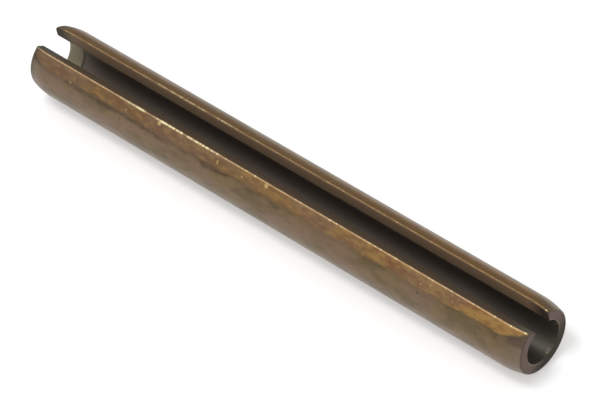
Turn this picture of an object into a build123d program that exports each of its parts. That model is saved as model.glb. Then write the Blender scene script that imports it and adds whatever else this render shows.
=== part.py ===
import os
from math import asin, atan2, cos, degrees, radians, sin, sqrt

from build123d import *

os.makedirs("parts", exist_ok=True)

# Spring roll pin: one strip of spring steel rolled into a C-shaped tube, both ends drawn in.
# It lies along X on the plane z = 0 with its slot uppermost.
# The origin is under the middle of its axis.

# driving sizes, mm
pin_length = 90.0
outside_dia = 10.5          # unfitted, before it is squeezed into its 10 mm hole
wall_thickness = 2.0
slot_gap = 4.4              # straight across the two outer edges of the slot
nose_length = 3.4           # rounded taper at each end
nose_drop = 0.54            # radius lost from the straight outside to the tip
tip_round = 0.3             # outer corner of each end face
bore_break = 0.12           # broken corner between the bore and each end face
outer_edge_round = 0.16     # long outer edges of the slot
inner_edge_round = 0.1      # long inner edges of the slot

# driving angle, degrees
slot_lean = 18.0            # both slot faces lean the same way from square to the wall

# sizes that follow from the ones above
outside_radius = outside_dia / 2
bore_radius = outside_radius - wall_thickness
tip_radius = outside_radius - nose_drop
half_length = pin_length / 2
nose_start = half_length - nose_length
slot_half_angle = degrees(asin(slot_gap / outside_dia))
tube_axis = Axis((0, 0, outside_radius), (1, 0, 0))


def on_ring(radius, angle):
    # a point of the cross-section; the angle runs from straight up towards +Y
    return (radius * sin(radians(angle)), radius * cos(radians(angle)))


def through_wall(edge_angle):
    # where the leaning face that starts on the outside at edge_angle meets the bore
    depth = outside_radius * cos(radians(slot_lean))
    run = depth - sqrt(depth**2 - outside_radius**2 + bore_radius**2)
    edge_y, edge_z = on_ring(outside_radius, edge_angle)
    run_y, run_z = on_ring(run, edge_angle - slot_lean)
    return (edge_y - run_y, edge_z - run_z)


# the rolled strip seen end on, drawn about the axis of the tube
with BuildSketch() as strip_section:
    with BuildLine():
        far_outer = on_ring(outside_radius, slot_half_angle)
        far_inner = through_wall(slot_half_angle)
        near_outer = on_ring(outside_radius, -slot_half_angle)
        near_inner = through_wall(-slot_half_angle)
        ThreePointArc(near_outer, (0, -outside_radius), far_outer)
        Line(far_outer, far_inner)
        ThreePointArc(far_inner, (0, -bore_radius), near_inner)
        Line(near_inner, near_outer)
    make_face()
    corners = strip_section.vertices().sort_by_distance((0, 0, 0))
    fillet(corners[:2], inner_edge_round)
    fillet(corners[2:], outer_edge_round)

# the section is turned until its weight hangs straight below the axis, so the pin rests as drawn
weight_point = strip_section.face().center(CenterOf.MASS)
balance_turn = atan2(weight_point.X, -weight_point.Y)
section_plane = Plane(
    origin=tube_axis.position,
    x_dir=(0, cos(balance_turn), -sin(balance_turn)),
    z_dir=(1, 0, 0),
)

with BuildPart() as spring_pin:
    with BuildSketch(section_plane):
        add(strip_section.sketch)
    extrude(amount=half_length, both=True)

    # the ends are drawn in to this outline: a rounded nose outside, a broken corner at the bore
    with BuildSketch(Plane(origin=tube_axis.position, x_dir=(1, 0, 0), z_dir=(0, -1, 0))) as ends:
        with BuildLine():
            Line((0, outside_radius), (nose_start, outside_radius))
            TangentArc((nose_start, outside_radius), (half_length, tip_radius), tangent=(1, 0))
            Line((half_length, tip_radius), (half_length, bore_radius + bore_break))
            Polyline(
                (half_length, bore_radius + bore_break),
                (half_length - 2 * bore_break, bore_radius - bore_break),
                (0, bore_radius - bore_break),
            )
            mirror(about=Plane.YZ)
        make_face()
        by_length = ends.vertices().group_by(Axis.X)
        tips = [by_length[end].sort_by(Axis.Y)[-1] for end in (0, -1)]
        fillet(tips, tip_round)
    revolve(axis=tube_axis, mode=Mode.INTERSECT)

spring_pin.part.label = "spring_pin"
export_step(spring_pin.part, "parts/spring_pin.step")
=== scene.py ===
import bpy
from math import pi, radians
from mathutils import Matrix, Vector


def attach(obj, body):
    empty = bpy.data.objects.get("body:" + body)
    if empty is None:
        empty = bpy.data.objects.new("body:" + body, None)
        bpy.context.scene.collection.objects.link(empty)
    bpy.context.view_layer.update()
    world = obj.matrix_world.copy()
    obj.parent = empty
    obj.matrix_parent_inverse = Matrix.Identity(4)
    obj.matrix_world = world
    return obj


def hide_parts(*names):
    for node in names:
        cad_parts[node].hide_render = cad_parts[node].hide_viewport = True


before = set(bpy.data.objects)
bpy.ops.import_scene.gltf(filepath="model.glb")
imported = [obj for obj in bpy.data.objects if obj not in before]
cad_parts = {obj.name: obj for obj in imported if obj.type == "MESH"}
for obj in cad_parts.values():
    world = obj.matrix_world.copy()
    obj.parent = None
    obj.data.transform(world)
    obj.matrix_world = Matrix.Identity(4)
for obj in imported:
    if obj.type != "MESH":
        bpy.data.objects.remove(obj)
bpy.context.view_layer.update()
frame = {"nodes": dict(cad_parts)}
print("frame in, nodes:", ", ".join(frame["nodes"]))

mm = 0.001


class Wire:
    # one value running through a node tree, so that sizes can be written as plain sums
    def __init__(self, tree, socket):
        self.tree = tree
        self.socket = socket

    def step(self, operation, *others):
        node = addNode(self.tree, "ShaderNodeMath", operation=operation)
        for place, value in enumerate((self, *others)):
            plug(node.inputs[place], value)
        return Wire(self.tree, node.outputs[0])

    def __add__(self, other):
        return self.step("ADD", other)

    def __sub__(self, other):
        return self.step("SUBTRACT", other)

    def __rsub__(self, other):
        return self.step("MULTIPLY_ADD", -1.0, other)

    def __mul__(self, other):
        return self.step("MULTIPLY", other)

    def __truediv__(self, other):
        return self.step("DIVIDE", other)

    def __neg__(self):
        return self.step("MULTIPLY", -1.0)

    __radd__ = __add__
    __rmul__ = __mul__

    def sine(self):
        return self.step("SINE")

    def cosine(self):
        return self.step("COSINE")

    def size(self):
        return self.step("ABSOLUTE")

    def sign(self):
        return self.step("SIGN")

    def above(self, limit):
        return self.step("GREATER_THAN", limit)

    def between(self, start, end):
        # 0 before start, 1 after end, straight in between
        return wired(self.tree, "ShaderNodeMapRange",
                     {"Value": self, "From Min": start, "From Max": end}, "Result")


def plug(socket, value):
    if isinstance(value, Wire):
        value.tree.links.new(value.socket, socket)
    else:
        socket.default_value = value


def addNode(tree, kind, plugs=None, **settings):
    node = tree.nodes.new(kind)
    for name, value in settings.items():
        setattr(node, name, value)
    for name, value in (plugs or {}).items():
        plug(node.inputs[name], value)
    return node


def wired(tree, kind, plugs=None, output=0, **settings):
    # adds a node and hands on one of its outputs
    return Wire(tree, addNode(tree, kind, plugs, **settings).outputs[output])


def joinAxes(x, y, z):
    return wired(x.tree, "ShaderNodeCombineXYZ", {"X": x, "Y": y, "Z": z})


def splitAxes(vector):
    node = addNode(vector.tree, "ShaderNodeSeparateXYZ", {"Vector": vector})
    return [Wire(vector.tree, output) for output in node.outputs]


# the pin is one strip rolled up, with both ends drawn in
pin = {
    "length": 90.0,             # mm
    "outsideDia": 10.5,
    "wall": 2.0,
    "slotGap": 4.4,             # across the outer edges of the slot
    "slotLean": 18.0,           # degrees, both faces lean the same way
    "noseLength": 3.4,
    "noseDrop": 0.54,
    "tipRound": 0.3,
    "boreBreak": 0.12,
    "outerEdgeRound": 0.16,
    "innerEdgeRound": 0.1,
    "turn": -4.05,              # degrees, weight straight below the axis
    "stepsStraight": 110,       # rows of the mesh from the middle to a nose
    "stepsNose": 20,
    "stepsTip": 8,
    "stepsEnd": 5,
    "stepsArc": 48,             # columns from the bottom round to the slot
    "stepsOuterEdge": 8,
    "stepsSlotFace": 6,
    "stepsInnerEdge": 6,
    "closingDepth": 0.4,        # of the wall: how far behind the slot face an end face closes
    "weld": 0.002,              # mm, points nearer than this are joined
}


def spans(value, counts):
    # 0 to 1 through each stretch of steps in turn, and where each stretch starts
    starts = [sum(counts[:place]) for place in range(len(counts) + 1)]
    return [value.between(a, b) for a, b in zip(starts, starts[1:])], starts


def drawNose(sizes, onStraight, onNose, onTip, isTip):
    # half the outline: the straight, the nose's arc and the round of the tip
    length, radius, wall = (sizes[n] for n in ("Length", "Radius", "Wall"))
    noseLength, noseDrop, tipRound, boreBreak = (
        sizes[n] for n in ("Nose length", "Nose drop", "Tip round", "Bore break"))
    half = length * 0.5
    noseStart = half - noseLength
    noseArc = (noseLength * noseLength + noseDrop * noseDrop) / (noseDrop * 2.0)
    reach, run = noseArc - tipRound, half - tipRound - noseStart
    rise = (reach * reach - run * run).step("SQRT")
    tipAngle = run.step("ARCTAN2", rise)
    swing = tipAngle * onNose + (pi / 2 - tipAngle) * onTip
    bend = noseArc + (tipRound - noseArc) * isTip
    outerX = noseStart * onStraight + run * isTip + bend * swing.sine()
    outerR = radius - noseArc + rise * isTip + bend * swing.cosine()

    # the bore runs straight, and its corner is broken
    breakSwing = onTip * (pi / 2)
    innerX = (noseStart * onStraight + (noseLength - boreBreak) * onNose
              + boreBreak * breakSwing.sine())
    innerR = radius - wall + boreBreak - boreBreak * breakSwing.cosine()
    return outerX, outerR, innerX, innerR


def leanSlotFace(sizes, slotSide):
    # one side of the slot: its face starts at the outer edge and leans as it goes in
    radius = sizes["Radius"]
    edgeAngle = (sizes["Gap"] / (radius * 2.0)).step("ARCSINE")
    leaning = edgeAngle - slotSide * sizes["Lean"]
    inY, inZ = -leaning.sine(), -leaning.cosine()
    outY, outZ = inZ, -inY
    edgeY, edgeZ = radius * edgeAngle.sine(), radius * edgeAngle.cosine()

    def behindFace(depth, distance):
        # the point so deep behind the slot face and so far from the axis, and its angle
        startY, startZ = edgeY - depth * outY, edgeZ - depth * outZ
        along = startY * inY + startZ * inZ
        spare = along * along - startY * startY - startZ * startZ + distance * distance
        travel = -along - spare.step("SQRT")
        y, z = startY + travel * inY, startZ + travel * inZ
        return y, z, y.step("ARCTAN2", z)

    return behindFace, leaning - pi / 2


def finishStrip(strip, placed, notes, material):
    # the sheet is given its notes, put in shape, closed along its seams and coated
    tree = strip.tree
    for name, value in notes.items():
        strip = wired(tree, "GeometryNodeStoreNamedAttribute",
                      {"Geometry": strip, "Name": name, "Value": value},
                      data_type="FLOAT", domain="POINT")
    shaped = wired(tree, "GeometryNodeSetPosition", {"Geometry": strip, "Position": placed})
    merged = wired(tree, "GeometryNodeMergeByDistance",
                   {"Geometry": shaped, "Distance": pin["weld"] * mm})
    outward = wired(tree, "GeometryNodeFlipFaces", {"Mesh": merged})
    smooth = wired(tree, "GeometryNodeSetShadeSmooth", {"Geometry": outward})
    real = wired(tree, "GeometryNodeRealizeInstances", {"Geometry": smooth})
    return wired(tree, "GeometryNodeSetMaterial", {"Geometry": real, "Material": material})


def growRolledStrip(tree, sizes, material):
    radius, wall, outerRound, innerRound, turn = (
        sizes[n] for n in ("Radius", "Wall", "Outer edge", "Inner edge", "Turn"))

    # rows run along the pin, columns round the strip
    rows = [pin[n] for n in ("stepsStraight", "stepsNose", "stepsTip", "stepsEnd")]
    columns = [pin[n] for n in (
        "stepsArc", "stepsOuterEdge", "stepsSlotFace", "stepsInnerEdge", "stepsArc")]
    strip = wired(tree, "GeometryNodeMeshGrid", {
        "Size X": 2.0 * sum(rows), "Size Y": 2.0 * sum(columns),
        "Vertices X": 2 * sum(rows) + 1, "Vertices Y": 2 * sum(columns) + 1,
    }, "Mesh")
    rowAt, columnAt = splitAxes(wired(tree, "GeometryNodeInputPosition"))[:2]
    endSide, slotSide = rowAt.sign(), columnAt.sign()
    row, column = rowAt.size(), columnAt.size()
    (onStraight, onNose, onTip, onEnd), rowStarts = spans(row, rows)
    (onOuter, onOuterEdge, onFace, onInnerEdge, onBore), columnStarts = spans(column, columns)
    halfStep = 0.5      # rows and columns are whole numbers: a switch stands between two
    isTip = row.above(rowStarts[2] - halfStep)
    isEdge = column.above(columnStarts[1] + halfStep)
    isBore = column.above(columnStarts[4] + halfStep)
    outerX, outerR, innerX, innerR = drawNose(sizes, onStraight, onNose, onTip, isTip)

    # outside arc, rounded edge, slot face, rounded edge and bore, each round its own centre
    behindFace, faceAngle = leanSlotFace(sizes, slotSide)
    outerY, outerZ, outerAngle = behindFace(outerRound, outerR - outerRound)
    innerY, innerZ, innerAngle = behindFace(innerRound, innerR + innerRound)
    inRound = isEdge - isBore
    centreY = (outerY + (innerY - outerY) * onFace) * inRound
    centreZ = (outerZ + (innerZ - outerZ) * onFace) * inRound
    roll = (outerR * (1.0 - isEdge) + (outerRound + (innerRound - outerRound) * onFace) * inRound
            + innerR * isBore)
    angle = (pi + (outerAngle - pi) * onOuter + (faceAngle - outerAngle) * onOuterEdge
             + (innerAngle - pi - faceAngle) * onInnerEdge + isBore * pi
             + (pi - innerAngle) * onBore)
    y = centreY + roll * angle.sine()
    z = centreZ + roll * angle.cosine()
    x = outerX + (innerX - outerX) * onFace

    # the end face closes on the middle of the wall
    middle = (outerR + innerR) * 0.5
    midAngle = behindFace(wall * pin["closingDepth"], middle)[2]
    closing = pi + (midAngle - pi) * (onOuter - onBore)
    y = y + (middle * closing.sine() - y) * onEnd
    z = z + (middle * closing.cosine() - z) * onEnd

    # each side and each end on its own side, turned to hang straight and set on the floor
    sidedY = y * slotSide
    placed = joinAxes(
        x * endSide,
        sidedY * turn.cosine() + z * turn.sine(),
        z * turn.cosine() - sidedY * turn.sine() + radius,
    )

    # what the steel needs to know: metres past the slot's outer edge, less than 0 round the
    # outside, then how far onto each part of the strip, 0 to 1, and the side of the slot
    pastEdge = (outerRound * (outerAngle - faceAngle) * onOuterEdge + (wall - outerRound) * onFace
                - (pi - outerAngle) * (1.0 - onOuter) * outerR)
    return finishStrip(strip, placed, {
        "pastEdge": pastEdge,
        "onSlotFace": onOuterEdge,
        "inBore": onInnerEdge,
        "drawnIn": onNose,
        "endFace": onTip,
        "slotSide": slotSide,
    }, material)


def rollPin(material):
    tree = bpy.data.node_groups.new("rolledStrip", "GeometryNodeTree")
    tree.interface.new_socket("Geometry", in_out="OUTPUT", socket_type="NodeSocketGeometry")
    given = {
        "Length": pin["length"] * mm,
        "Radius": pin["outsideDia"] / 2 * mm,
        "Wall": pin["wall"] * mm,
        "Gap": pin["slotGap"] * mm,
        "Lean": radians(pin["slotLean"]),
        "Nose length": pin["noseLength"] * mm,
        "Nose drop": pin["noseDrop"] * mm,
        "Tip round": pin["tipRound"] * mm,
        "Bore break": pin["boreBreak"] * mm,
        "Outer edge": pin["outerEdgeRound"] * mm,
        "Inner edge": pin["innerEdgeRound"] * mm,
        "Turn": radians(pin["turn"]),
    }
    knobs = {
        name: tree.interface.new_socket(name, in_out="INPUT", socket_type="NodeSocketFloat")
        for name in given
    }
    entry = addNode(tree, "NodeGroupInput")
    sizes = {name: Wire(tree, entry.outputs[name]) for name in given}
    addNode(tree, "NodeGroupOutput", {"Geometry": growRolledStrip(tree, sizes, material)})

    blank = bpy.data.objects.new("springPinBlank", bpy.data.meshes.new("springPinBlank"))
    bpy.context.scene.collection.objects.link(blank)
    rolling = blank.modifiers.new("roll the strip", "NODES")
    rolling.node_group = tree
    for name, value in given.items():
        rolling[knobs[name].identifier] = value
    seen = blank.evaluated_get(bpy.context.evaluated_depsgraph_get())
    mesh = bpy.data.meshes.new_from_object(seen)
    mesh.name = "springPin"
    piece = bpy.data.objects.new("springPin", mesh)
    bpy.context.scene.collection.objects.link(piece)
    bpy.data.objects.remove(blank)
    return piece


steel = {
    "golden": (112, 86, 50),        # beside the slot, in a golden band
    "goldenPale": (158, 120, 60),
    "goldenDeep": (108, 68, 36),
    "goldenDull": (112, 88, 66),
    "flank": (114, 92, 60),         # round the sides and the bottom
    "olive": (98, 80, 48),
    "plum": (120, 95, 73),
    "farSide": (96, 67, 24),        # outside, beyond the slot
    "border": (62, 44, 20),         # dark line where the golden band stops
    "inside": (104, 93, 84),        # bore
    "insideEnd": (128, 118, 94),    # last of the bore at the -X end
    "insideDark": (80, 75, 66),     # last of the bore at the +X end
    "slotNear": (86, 70, 52),       # slot face on the -Y side, painted darker as the shaded one
    "slotFar": (131, 108, 84),      # and on the +Y side, painted lighter as the lit one
    "noseSlot": (48, 44, 16),       # slot faces out at the tips, -X end, painted dark as shade
    "noseSlotPale": (98, 92, 78),   # the -Y one of the two at the +X end
    "nose": (112, 99, 78),
    "nosePlum": (122, 102, 90),
    "noseWedge": (76, 60, 46),      # below the golden band, +X end
    "tipShade": (56, 52, 20),       # last of the noses, -X end
    "endFace": (108, 89, 80),
    "endShade": (44, 38, 20),       # painted shade on the lower side of the end faces
    "rimHighlight": (160, 138, 116),         # painted highlight on the broken corner of the bore
    "wornEdge": (192, 158, 114),    # bare steel on the long outer edges
    "paintedGlint": (255, 240, 190),       # painted glints on the worn edges
    "speck": (206, 176, 118),
    "fleck": (58, 44, 36),
    # across the strip, mm from the slot, and where there are two, a change from one to the other
    "goldBandWidth": 1.75,
    "goldBandLess": 1.2,              # narrower by this at the tips
    "cloudsPush": 1.8,              # how far the clouds push the band's far side about
    "patchesPush": 1.4,             # and how far the patches do
    "farStops": (0.9, 2.0),
    "wedgeStops": (2.0, 2.5),
    # the same, mm from the far side of the golden band
    "goldBandStops": (-0.15, 0.2),
    "borderStarts": (-0.3, 0.15),
    "borderStops": (0.25, 0.9),
    # the same, mm from the long outer edges
    "wornWidth": 0.15,              # to each side
    "wornPast": 0.05,               # middle of the wear, on towards the slot
    "wornWander": 0.12,             # how far the dabs push it about
    # along the pin, mm from its middle
    # the golden band is painted lighter over this stretch, a painted highlight
    "goldHighlightRamp": (-15.0, 35.0),
    "borderFades": (-10.0, 5.0),
    "brightStarts": (-28.0, -24.0),  # the painted glints on the edges are strongest from here
    "brightStops": (-12.0, -8.0),
    # along the pin, mm in from the +X end
    "boreDarkens": (15.0, 3.0),
    "boreSpecks": (6.0, 3.0),
    "wearStops": (0.6, 0.2),
    "brightCorner": 0.4,
    # along the pin, mm in from the -X end
    "boreLine": 3.0,
    # mm above the floor, over which the painted shade on the end faces comes in
    "endShades": (4.8, 1.8),
    # patterns, in spots to the metre
    "cloudScale": 200.0,
    "patchScale": 620.0,
    "dabScale": 1700.0,
    "grainScale": 5200.0,
    "wearScale": 300.0,
    "sparkScale": 1900.0,
    "smallSpeckScale": 1500.0,
    "largeSpeckScale": 700.0,
    "fleckScale": 900.0,
    "ragScale": 2600.0,             # what shakes the spots
    "ragged": 0.3,                  # and how far, mm
    "drawnOut": 2.5,                # clouds, patches and dabs are so many times longer along X
    "seed": 4.0,                    # another number gives other clouds and patches
    # how it shines
    "metallic": 0.5,
    "coat": 0.12,
    "coatRoughness": 0.3,
    "roughness": 0.4,
    "dullRoughness": 0.8,           # slot, end faces and far side
    "bumpStrength": 0.3,
    "bumpDepth": 0.02,              # mm
}


def newMaterial(name):
    material = bpy.data.materials.new(name)
    material.use_nodes = True
    material.node_tree.nodes.clear()
    return material, material.node_tree


def tone(red, green, blue):
    # a screen colour, 0 to 255, as the light value that a shader wants
    parts = (c / 255 for c in (red, green, blue))
    return (*(p / 12.92 if p < 0.04045 else ((p + 0.055) / 1.055) ** 2.4 for p in parts), 1)


def blend(amount, under, over):
    # each colour is a wire or a name from the steel's list, on the node's colour sockets 6, 7, 2
    node = addNode(amount.tree, "ShaderNodeMix", data_type="RGBA", clamp_factor=True)
    for place, value in ((0, amount), (6, under), (7, over)):
        plug(node.inputs[place], tone(*steel[value]) if isinstance(value, str) else value)
    return Wire(amount.tree, node.outputs[2])


def mottle(where, scale, detail, roughness=0.5):
    return wired(where.tree, "ShaderNodeTexNoise",
                 {"Vector": where, "Scale": scale, "Detail": detail, "Roughness": roughness})


def speckle(where, scale, size, share):
    # scattered round spots: share of the cells that hold one, size of the largest in cells
    cells = addNode(where.tree, "ShaderNodeTexVoronoi", {"Vector": where, "Scale": scale},
                    feature="F1")
    distance, colour = (Wire(where.tree, cells.outputs[n]) for n in ("Distance", "Color"))
    chance, spread = splitAxes(colour)[:2]
    radius = spread * size
    return (1.0 - distance.between(radius * 0.5, radius)) * chance.above(1.0 - share)


def shaken(where, scale, amount):
    # a place moved about a little, so that spots come out ragged
    def onAxes(operation, first, second):
        return wired(where.tree, "ShaderNodeVectorMath", {0: first, 1: second},
                     operation=operation)

    wobble = wired(where.tree, "ShaderNodeTexNoise",
                   {"Vector": where, "Scale": scale, "Detail": 2.0}, "Color")
    centred = onAxes("SUBTRACT", wobble, (0.5, 0.5, 0.5))
    return onAxes("ADD", where, onAxes("MULTIPLY", centred, (amount, amount, amount)))


class Zones:
    # where on the pin a point of the steel is, which patterns run over it, and how far it lies
    # in each zone that has its own finish, 0 to 1
    def __init__(self, tree):
        self.place = wired(tree, "ShaderNodeTexCoord", output="Object")
        self.alongX, self.acrossY, self.upZ = splitAxes(self.place)
        self.alongMm = self.alongX / mm
        self.toPlusEnd = pin["length"] / 2 - self.alongMm
        self.toMinusEnd = pin["length"] / 2 + self.alongMm
        self.plusEnd = self.alongX.above(0.0)

        pastEdge, self.onSlotFace, self.inBore, self.drawnIn, self.endFace, self.slotSide = (
            wired(tree, "ShaderNodeAttribute", output="Fac", attribute_name=name) for name in (
                "pastEdge", "onSlotFace", "inBore", "drawnIn", "endFace", "slotSide"))
        self.pastMm = pastEdge / mm
        self.fromSlot = -self.pastMm
        self.far = self.slotSide.above(0.0)     # +Y side of the slot
        self.outside = 1.0 - self.inBore

        drawn = joinAxes(self.alongX / steel["drawnOut"] + steel["seed"], self.acrossY, self.upZ)
        self.clouds = mottle(drawn, steel["cloudScale"], 3.0)
        self.patches = mottle(drawn, steel["patchScale"], 3.0, 0.6)
        self.dabs = mottle(drawn, steel["dabScale"], 3.0, 0.6)
        self.grain = mottle(self.place, steel["grainScale"], 4.0, 0.65)

        # the golden band beside the slot, the outside beyond the slot, the dark tips at the -X end
        wander = ((self.clouds - 0.5) * steel["cloudsPush"]
                  + (self.patches - 0.5) * steel["patchesPush"])
        self.bandWidth = steel["goldBandWidth"] - self.drawnIn * steel["goldBandLess"] + wander
        self.goldBand = 1.0 - self.pastBand(*steel["goldBandStops"])
        self.beyond = self.far * self.outside * (1.0 - self.fromSlot.between(*steel["farStops"]))
        self.tips = self.drawnIn.between(0.6 - self.far * 0.4, 0.95) * (1.0 - self.plusEnd)

        # the dark line round the bore
        self.pastLine = self.toMinusEnd + (self.patches - 0.5) * 0.5 - steel["boreLine"]
        self.onLine = 1.0 - self.pastLine.size().between(0.1, 0.3)

    def pastBand(self, start, end):
        # 0 to 1 over a stretch in mm from the far side of the golden band
        return self.fromSlot.between(self.bandWidth + start, self.bandWidth + end)


# noise crowds round 0.5, so between(0.42, 0.58) makes soft-edged spots of it, and the factor
# after it is how strongly the next colour covers them
def sidesSkin(at):
    skin = blend(at.patches.between(0.42, 0.58), "flank", "olive")
    skin = blend(at.clouds.between(0.48, 0.6) * 0.85, skin, "plum")
    return blend(at.dabs.between(0.55, 0.7) * 0.35, skin, "border")


def goldBandSkin(at):
    # painted highlight: the golden band lighter towards +X
    gold = blend(at.alongMm.between(*steel["goldHighlightRamp"]) * 0.75, "golden", "goldenPale")
    gold = blend(at.patches.between(0.5, 0.36) * 0.8, gold, "goldenDeep")
    gold = blend(at.clouds.between(0.5, 0.58) * 0.6, gold, "goldenDull")
    gold = blend(at.dabs.between(0.52, 0.64) * 0.4, gold, "goldenPale")
    return blend(at.dabs.between(0.5, 0.36) * 0.5, gold, "goldenDeep")


def shadeNoses(at, skin):
    # greyer outside the golden band, with a dark wedge at the +X end and dark tips at the -X end
    offBand = 1.0 - at.goldBand
    noseSkin = blend(at.patches.between(0.45, 0.56) * 0.7, "nose", "nosePlum")
    skin = blend(at.drawnIn * offBand * 0.8, skin, noseSkin)
    inWedge = 1.0 - (at.fromSlot + (at.patches - 0.5) * 1.2).between(*steel["wedgeStops"])
    wedge = at.drawnIn.between(0.0, 0.4) * offBand * inWedge * at.plusEnd * (1.0 - at.far)
    skin = blend(wedge * 0.75, skin, "noseWedge")
    skin = blend(at.drawnIn * at.far * 0.6, skin, "olive")
    return blend(at.tips * 0.7, skin, "tipShade")


def darkenBorder(at, skin):
    # the dark line where the golden band stops, weaker towards +X
    border = at.pastBand(*steel["borderStarts"]) * (1.0 - at.pastBand(*steel["borderStops"]))
    border = border * (0.4 + at.patches.between(0.42, 0.58) * 0.4 + at.drawnIn * 0.3)
    border = border * (1.0 - at.alongMm.between(*steel["borderFades"]) * 0.6)
    return blend(border, skin, "border")


def slotSkin(at):
    tipSkin = blend(at.far, "noseSlotPale", "fleck")
    # painted shade on the slot faces out at the -X tips
    tipSkin = blend(at.plusEnd, "noseSlot", tipSkin)
    # the two slot faces are the same steel: the -Y one painted in shade, the +Y one painted lit
    return blend(at.drawnIn.between(0.0, 0.7), blend(at.far, "slotNear", "slotFar"), tipSkin)


def boreSkin(at):
    # paler at the -X end, with a dark line round it where that stops
    bore = blend(at.pastLine.between(-0.1, 0.1), "insideEnd", "inside")
    bore = blend(at.onLine * 0.85, bore, "fleck")
    return blend(at.toPlusEnd.between(*steel["boreDarkens"]), bore, "insideDark")


def shadeEnds(at, skin):
    # painted shade low down and in a crease outside, and a painted highlight on the broken corner
    # of the bore
    height = at.upZ / mm - at.acrossY / mm * 0.6 + (at.dabs - 0.5) * 2.0
    low = height.between(*steel["endShades"])
    skin = blend(at.endFace, skin, blend(low, "endFace", "endShade"))
    rounded = at.endFace.between(0.1, 0.6) * (1.0 - at.endFace.between(0.999, 1.0))
    # painted shade in the crease outside the end face, on the -Y side
    skin = blend(rounded * at.outside * (1.0 - at.far) * 0.5, skin, "border")
    rimHighlight = rounded * at.inBore * (at.dabs.between(0.4, 0.6) * 0.5 + 0.5) * (1.0 - low)
    return blend(rimHighlight, skin, "rimHighlight")


def scatterSpots(at, skin):
    # dark flecks anywhere outside, and bright specks on the golden band, thick in places
    ragged = shaken(at.place, steel["ragScale"], steel["ragged"] * mm)
    flecks = speckle(ragged, steel["fleckScale"], 0.22, 0.16) * at.outside
    skin = blend(flecks * 0.7, skin, "fleck")
    thick = at.clouds.between(0.42, 0.58)
    specks = (speckle(ragged, steel["smallSpeckScale"], 0.34, 0.05 + thick * 0.3)
              + speckle(ragged, steel["largeSpeckScale"], 0.32, 0.1))
    onBand = at.goldBand * (1.0 - at.onSlotFace) * (0.7 - at.far * 0.5)
    onBore = at.inBore * at.toPlusEnd.between(*steel["boreSpecks"]) * 0.45
    return blend(specks * (onBand + onBore), skin, "speck")


def wearEdges(at, skin):
    # bare steel along the long outer edges, coming and going
    onEdge = joinAxes(at.alongX, 0.0, at.slotSide * 0.01)
    comes = mottle(onEdge, steel["wearScale"], 4.0, 0.75)
    sparks = mottle(onEdge, steel["sparkScale"], 2.0, 0.6)
    offEdge = (at.pastMm - steel["wornPast"] - (at.dabs - 0.5) * steel["wornWander"]).size()
    wholeEdge = (1.0 - at.endFace) * (1.0 - at.toPlusEnd.between(*steel["wearStops"]))
    wide = steel["wornWidth"]
    worn = (1.0 - offEdge.between(wide * 0.4, wide)) * wholeEdge
    bare = worn * (comes.between(0.34, 0.52) * 0.5 + 0.35) * (1.0 - at.far * 0.45)
    skin = blend(bare * (1.0 - at.tips * 0.85), skin, "wornEdge")

    # painted glints on the worn edges, most of all in one stretch, and a painted highlight at a
    # corner
    lit = sparks.between(0.5, 0.62) * comes.between(0.46, 0.56) * (1.0 - at.far * 0.6)
    skin = blend(worn * lit * 0.6, skin, "paintedGlint")
    bright = (at.alongMm.between(*steel["brightStarts"])
              * (1.0 - at.alongMm.between(*steel["brightStops"])) * (1.0 - at.far * 0.75))
    glints = sparks.between(0.36, 0.56) * comes.between(0.42, 0.54) * bright
    glints = glints * (1.0 - offEdge.between(wide * 0.8, wide * 1.6)) * wholeEdge
    # painted highlight at a corner near the +X end
    corner = 1.0 - (at.toPlusEnd - steel["brightCorner"]).size().between(0.1, 0.3)
    return blend(glints + worn * corner, skin, "paintedGlint")


def oxidisedSteel():
    material, tree = newMaterial("oxidisedSteel")
    at = Zones(tree)
    skin = blend(at.goldBand, sidesSkin(at), goldBandSkin(at))
    skin = blend(at.beyond * 0.85, skin, "farSide")
    skin = shadeNoses(at, skin)
    skin = darkenBorder(at, skin)
    skin = blend(at.onSlotFace, skin, slotSkin(at))
    skin = blend(at.inBore, skin, boreSkin(at))
    skin = shadeEnds(at, skin)
    skin = scatterSpots(at, skin)
    skin = wearEdges(at, skin)

    dull = (at.beyond + at.onSlotFace * (1.0 - at.inBore * 0.7) + at.endFace).between(0.0, 1.0)
    roughness = steel["roughness"] + (steel["dullRoughness"] - steel["roughness"]) * dull
    bumps = wired(tree, "ShaderNodeBump", {
        "Height": at.grain + at.dabs * 2.0 - at.onLine * at.inBore,
        "Strength": steel["bumpStrength"],
        "Distance": steel["bumpDepth"] * mm,
    })
    shader = wired(tree, "ShaderNodeBsdfPrincipled", {
        "Base Color": skin,
        "Metallic": steel["metallic"],
        "Roughness": roughness + (at.patches - 0.5) * 0.2 + (at.grain - 0.5) * 0.1,
        "Coat Weight": steel["coat"],
        "Coat Roughness": steel["coatRoughness"],
        "Normal": bumps,
    })
    addNode(tree, "ShaderNodeOutputMaterial", {"Surface": shader})
    return material


springPin = rollPin(oxidisedSteel())
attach(springPin, "root")
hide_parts("spring_pin")
print("pin rolled:", len(springPin.data.polygons), "faces")


room = {
    "floorSize": 3.0,           # metres
    "floorGrey": 0.86,
    "floorLift": 0.36,          # brings the grey up to white where it is seen
    "worldLevel": 0.6,          # light from all round, where nothing sees it as background
    "cameraPlace": (0.2309258, -0.1709462, 0.3485065),
    "cameraRight": (0.7413, 0.6493, -0.1698),
    "cameraUp": (-0.4349, 0.6575, 0.6153),
    "cameraBack": (0.5112, -0.3823, 0.7698),
    "lens": 197.19,             # mm, on a sensor of the next width
    "sensorWidth": 36.0,
    "clip": (0.01, 20.0),
}


def whiteRays(tree):
    # 1 for the rays that are to find a white room
    rays = addNode(tree, "ShaderNodeLightPath")
    seen, glossy, through = (Wire(tree, rays.outputs[name]) for name in (
        "Is Camera Ray", "Is Glossy Ray", "Is Transmission Ray"))
    return (seen + glossy + through).step("MINIMUM", 1.0)


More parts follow.
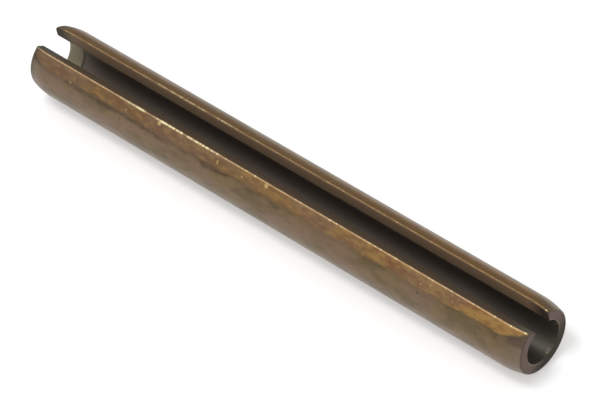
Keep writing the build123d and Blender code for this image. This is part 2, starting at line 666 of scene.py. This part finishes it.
def paleFloor():
    material, tree = newMaterial("paleFloor")
    grey = room["floorGrey"]
    plain = wired(tree, "ShaderNodeBsdfDiffuse", {"Color": (grey, grey, grey, 1)})
    lift = wired(tree, "ShaderNodeEmission",
                 {"Color": (1, 1, 1, 1), "Strength": whiteRays(tree) * room["floorLift"]})
    both = wired(tree, "ShaderNodeAddShader", {0: plain, 1: lift})
    addNode(tree, "ShaderNodeOutputMaterial", {"Surface": both})
    return material


edge = room["floorSize"] / 2
floorMesh = bpy.data.meshes.new("floor")
floorMesh.from_pydata(
    [(-edge, -edge, 0), (edge, -edge, 0), (edge, edge, 0), (-edge, edge, 0)], [], [(0, 1, 2, 3)])
floorPlane = bpy.data.objects.new("floor", floorMesh)
bpy.context.scene.collection.objects.link(floorPlane)
floorMesh.materials.append(paleFloor())

world = bpy.data.worlds.new("softRoom")
bpy.context.scene.world = world
world.use_nodes = True
air = world.node_tree
sky = air.nodes["Background"]
sky.inputs["Color"].default_value = (1, 1, 1, 1)
level = room["worldLevel"]
plug(sky.inputs["Strength"], level + whiteRays(air) * (1.0 - level))

softBox = {
    "energy": 3.4,              # watts
    "width": 0.3,               # metres
    "place": (-0.12, -0.18, 1.0),
}

lampData = bpy.data.lights.new("softBox", "AREA")
lampData.energy = softBox["energy"]
lampData.size = softBox["width"]
lamp = bpy.data.objects.new("softBox", lampData)
lamp.location = softBox["place"]
lamp.rotation_euler = Vector(softBox["place"]).to_track_quat("Z", "Y").to_euler()
bpy.context.scene.collection.objects.link(lamp)

cameraData = bpy.data.cameras.new("camera")
cameraData.lens = room["lens"]
cameraData.sensor_width = room["sensorWidth"]
cameraData.clip_start, cameraData.clip_end = room["clip"]
camera = bpy.data.objects.new("camera", cameraData)
axes = (room["cameraRight"], room["cameraUp"], room["cameraBack"])
turned = Matrix(axes).transposed().to_4x4()
camera.matrix_world = Matrix.Translation(room["cameraPlace"]) @ turned
bpy.context.scene.collection.objects.link(camera)
bpy.context.scene.camera = camera
bpy.context.scene.view_settings.view_transform = "Standard"
print("room and camera ready")
